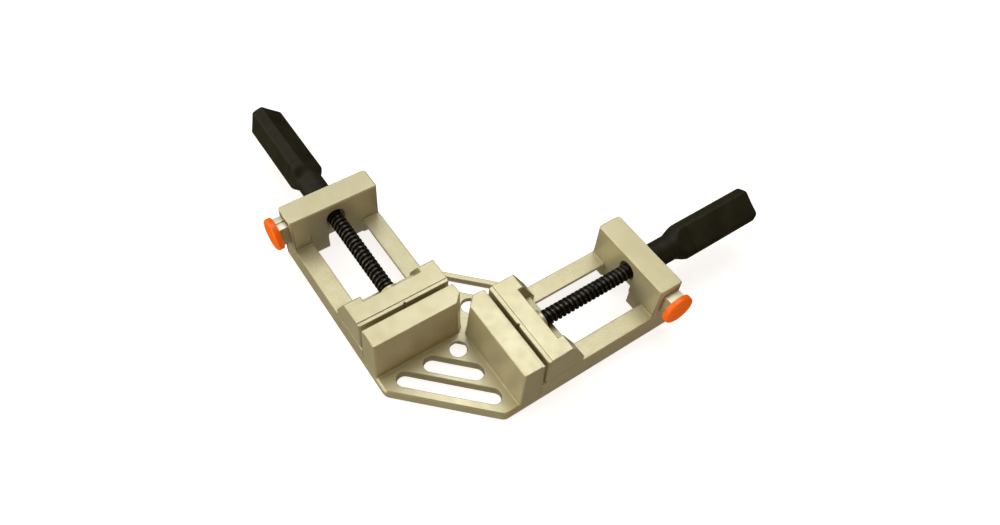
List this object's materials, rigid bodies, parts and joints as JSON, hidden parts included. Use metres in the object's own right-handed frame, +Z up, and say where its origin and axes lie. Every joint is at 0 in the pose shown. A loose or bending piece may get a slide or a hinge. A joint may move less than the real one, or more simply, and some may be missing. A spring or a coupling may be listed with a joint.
{
  "type": "corner clamp",
  "caption": "Cast corner clamp: a V-shaped body with two screw-driven jaws at a right angle and push-button quick release.",
  "frame": {"origin": "the gripping corner, where the gripping planes of the two fixed jaws meet, on the underside of the body", "axes": "+Z up from the bench, +Y away from the rounded front edge along the middle line between the arms, +X to the right arm"},
  "size_m": [0.542, 0.2831, 0.07],
  "materials": {
    "cast_alloy": "die cast, champagne coat, satin",
    "slide_alloy": "machined, satin",
    "plated_steel": "zinc plated",
    "bright_steel": "ground",
    "black_steel": "black oxide, oiled",
    "black_handle": "moulded, satin",
    "orange_plastic": "moulded, semi-gloss"
  },
  "bodies": {
    "frame": {"body_casting": "cast_alloy", "left_release_spring": "bright_steel", "left_slide_stop_pin": "bright_steel", "right_release_spring": "bright_steel", "right_slide_stop_pin": "bright_steel"},
    "left_jaw": {"left_moving_jaw": "cast_alloy", "left_jaw_keeper": "plated_steel", "left_keeper_screws": "plated_steel", "left_retaining_pin": "bright_steel"},
    "left_screw": {"left_spindle": "black_steel", "left_handle": "black_handle"},
    "left_release": {"left_release_slide": "slide_alloy", "left_release_button": "orange_plastic"},
    "right_jaw": {"right_moving_jaw": "cast_alloy", "right_jaw_keeper": "plated_steel", "right_keeper_screws": "plated_steel", "right_retaining_pin": "bright_steel"},
    "right_screw": {"right_spindle": "black_steel", "right_handle": "black_handle"},
    "right_release": {"right_release_slide": "slide_alloy", "right_release_button": "orange_plastic"}
  },
  "joints": [
    {"name": "left_jaw_slide", "type": "slide", "parent": "frame", "child": "left_jaw", "axis": [-0.7071, 0.7071, 0], "range_m": [-0.0038, 0.085]},
    {"name": "left_screw_turn", "type": "hinge", "parent": "left_jaw", "child": "left_screw", "pos_m": [-0.05056, -0.05056, 0.049], "axis": [-0.7071, 0.7071, 0], "range_deg": [-273.7, 6120.1]},
    {"name": "left_release_press", "type": "slide", "parent": "frame", "child": "left_release", "axis": [0.7071, 0.7071, 0], "range_m": [0, 0.004], "stiffness_N_per_m": 2000, "springref_m": -0.004, "deforming": ["left_release_spring"]},
    {"name": "right_jaw_slide", "type": "slide", "parent": "frame", "child": "right_jaw", "axis": [0.7071, 0.7071, 0], "range_m": [-0.0038, 0.085]},
    {"name": "right_screw_turn", "type": "hinge", "parent": "right_jaw", "child": "right_screw", "pos_m": [0.05056, -0.05056, 0.049], "axis": [0.7071, 0.7071, 0], "range_deg": [-273.7, 6120.1]},
    {"name": "right_release_press", "type": "slide", "parent": "frame", "child": "right_release", "axis": [-0.7071, 0.7071, 0], "range_m": [0, 0.004], "stiffness_N_per_m": 2000, "springref_m": -0.004, "deforming": ["right_release_spring"]}
  ],
  "couplings": [
    {"joint": "left_screw_turn", "follows": "left_jaw_slide", "rad_per_m": 1256.6},
    {"joint": "right_screw_turn", "follows": "right_jaw_slide", "rad_per_m": 1256.6}
  ]
}
